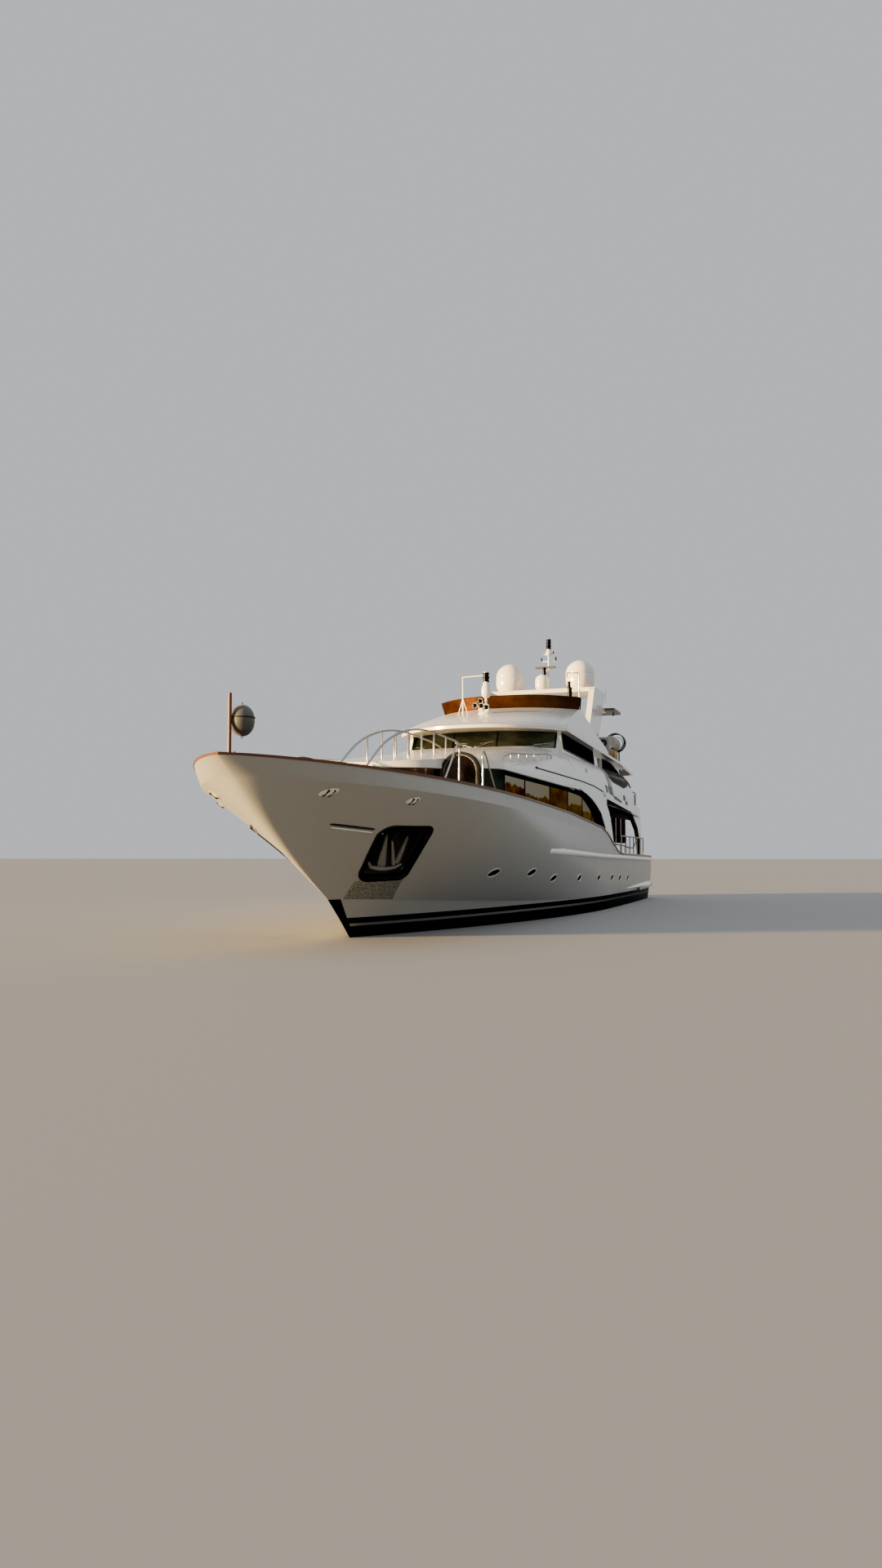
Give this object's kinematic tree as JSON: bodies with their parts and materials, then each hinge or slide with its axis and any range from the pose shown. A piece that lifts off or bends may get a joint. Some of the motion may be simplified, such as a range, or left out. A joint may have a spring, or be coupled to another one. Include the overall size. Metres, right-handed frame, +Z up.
{
  "type": "motor yacht",
  "caption": "Displacement motor yacht afloat with raised pilothouse, flying bridge, radar arch, domes, anchor pockets, sliding doors, shafts, propellers, rudders and fins.",
  "frame": {"origin": "amidships on the centreline, at the waterline", "axes": "+X towards the bow, +Y to port, +Z up"},
  "size_m": [38.125, 7.8804, 14.6836],
  "materials": {
    "gelcoat_white": "cream-white gelcoat, glossy",
    "teak": "laid teak planks, matt",
    "varnished_wood": "varnished teak, glossy",
    "dark_glass": "dark green-black tinted glass",
    "brown_glass": "brown tinted reflective glass",
    "polished_steel": "polished stainless steel",
    "bronze": "manganese bronze, satin",
    "black_paint": "black paint, satin",
    "dark_metal": "dark grey scuffed metal",
    "black_vinyl": "black vinyl, satin"
  },
  "bodies": {
    "yacht": {"hull": "gelcoat_white", "main_deck": "teak", "cap_rail": "varnished_wood", "port_rub_rail": "gelcoat_white", "starboard_rub_rail": "gelcoat_white", "stem_guard": "dark_metal", "port_anchor": "polished_steel", "starboard_anchor": "polished_steel", "windlass": "polished_steel", "jackstaff": "varnished_wood", "anchor_ball": "black_vinyl", "main_deckhouse": "gelcoat_white", "port_saloon_glass": "brown_glass", "starboard_saloon_glass": "brown_glass", "front_cabin_glass": "brown_glass", "upper_deck": "gelcoat_white", "coachroof": "gelcoat_white", "upper_house": "gelcoat_white", "windshield": "dark_glass", "port_wheelhouse_glass": "dark_glass", "starboard_wheelhouse_glass": "dark_glass", "port_sky_lounge_glass": "dark_glass", "starboard_sky_lounge_glass": "dark_glass", "sun_deck": "gelcoat_white", "flybridge_screen": "brown_glass", "radar_arch": "gelcoat_white", "port_sat_dome": "gelcoat_white", "starboard_sat_dome": "gelcoat_white", "small_dome": "gelcoat_white", "mast": "polished_steel", "port_life_raft": "gelcoat_white", "starboard_life_raft": "gelcoat_white", "signal_mast": "polished_steel", "port_foredeck_handrail": "polished_steel", "starboard_foredeck_handrail": "polished_steel", "foredeck_stairs": "gelcoat_white", "upper_deck_rail": "polished_steel", "port_aft_deck_rail": "polished_steel", "starboard_aft_deck_rail": "polished_steel", "swim_platform": "teak", "port_shaft_bracket": "bronze", "starboard_shaft_bracket": "bronze"},
    "port_passage_door": {"port_passage_door": "brown_glass"},
    "port_propeller": {"port_propeller": "bronze"},
    "port_rudder": {"port_rudder": "black_paint"},
    "port_saloon_door": {"port_saloon_door": "brown_glass"},
    "port_sky_lounge_door": {"port_sky_lounge_door": "dark_glass"},
    "port_stabiliser_fin": {"port_stabiliser_fin": "black_paint"},
    "port_wheelhouse_door": {"port_wheelhouse_door": "gelcoat_white"},
    "radar_scanner": {"radar_scanner": "black_paint"},
    "starboard_passage_door": {"starboard_passage_door": "brown_glass"},
    "starboard_propeller": {"starboard_propeller": "bronze"},
    "starboard_rudder": {"starboard_rudder": "black_paint"},
    "starboard_saloon_door": {"starboard_saloon_door": "brown_glass"},
    "starboard_sky_lounge_door": {"starboard_sky_lounge_door": "dark_glass"},
    "starboard_stabiliser_fin": {"starboard_stabiliser_fin": "black_paint"},
    "starboard_wheelhouse_door": {"starboard_wheelhouse_door": "gelcoat_white"},
    "transom_door": {"transom_door": "gelcoat_white"}
  },
  "joints": [
    {"name": "port_propeller_spin", "type": "hinge", "parent": "yacht", "child": "port_propeller", "pos_m": [-15.45, 1.5, -1.78], "axis": [1, 0, 0], "continuous": true},
    {"name": "port_rudder_turn", "type": "hinge", "parent": "yacht", "child": "port_rudder", "pos_m": [-16.3, 1.5, -1.6], "axis": [0, 0, 1], "range_deg": [-35, 35]},
    {"name": "port_fin_turn", "type": "hinge", "parent": "yacht", "child": "port_stabiliser_fin", "pos_m": [1, 2.09999, -1.233], "axis": [0.0533, 0.45, -0.8915], "range_deg": [-20, 20]},
    {"name": "port_passage_door_swing", "type": "hinge", "parent": "yacht", "child": "port_passage_door", "pos_m": [10.11, 2.904, 3.9], "axis": [0, 0, 1], "range_deg": [0, 80]},
    {"name": "port_saloon_door_slide", "type": "slide", "parent": "yacht", "child": "port_saloon_door", "axis": [0, 1, 0], "range_m": [0, 1.1]},
    {"name": "port_sky_lounge_door_slide", "type": "slide", "parent": "yacht", "child": "port_sky_lounge_door", "axis": [0, 1, 0], "range_m": [0, 1]},
    {"name": "port_wheelhouse_door_slide", "type": "slide", "parent": "yacht", "child": "port_wheelhouse_door", "axis": [-1, 0, 0], "range_m": [0, 0.95]},
    {"name": "starboard_propeller_spin", "type": "hinge", "parent": "yacht", "child": "starboard_propeller", "pos_m": [-15.45, -1.5, -1.78], "axis": [1, 0, 0], "continuous": true},
    {"name": "starboard_rudder_turn", "type": "hinge", "parent": "yacht", "child": "starboard_rudder", "pos_m": [-16.3, -1.5, -1.6], "axis": [0, 0, 1], "range_deg": [-35, 35]},
    {"name": "starboard_fin_turn", "type": "hinge", "parent": "yacht", "child": "starboard_stabiliser_fin", "pos_m": [1, -2.09999, -1.233], "axis": [0.0533, -0.45, -0.8915], "range_deg": [-20, 20]},
    {"name": "starboard_passage_door_swing", "type": "hinge", "parent": "yacht", "child": "starboard_passage_door", "pos_m": [10.11, -2.904, 3.9], "axis": [0, 0, -1], "range_deg": [0, 80]},
    {"name": "starboard_saloon_door_slide", "type": "slide", "parent": "yacht", "child": "starboard_saloon_door", "axis": [0, -1, 0], "range_m": [0, 1.1]},
    {"name": "starboard_sky_lounge_door_slide", "type": "slide", "parent": "yacht", "child": "starboard_sky_lounge_door", "axis": [0, -1, 0], "range_m": [0, 1]},
    {"name": "starboard_wheelhouse_door_slide", "type": "slide", "parent": "yacht", "child": "starboard_wheelhouse_door", "axis": [-1, 0, 0], "range_m": [0, 0.95]},
    {"name": "radar_scanner_spin", "type": "hinge", "parent": "yacht", "child": "radar_scanner", "pos_m": [-10.48, 0, 10.96], "axis": [0, 0, 1], "continuous": true},
    {"name": "transom_door_swing", "type": "hinge", "parent": "yacht", "child": "transom_door", "pos_m": [-17.7003, 0, 1.95], "axis": [0, 1, 0], "range_deg": [0, 85]}
  ],
  "couplings": [
    {"joint": "starboard_rudder_turn", "follows": "port_rudder_turn", "ratio": 1}
  ]
}
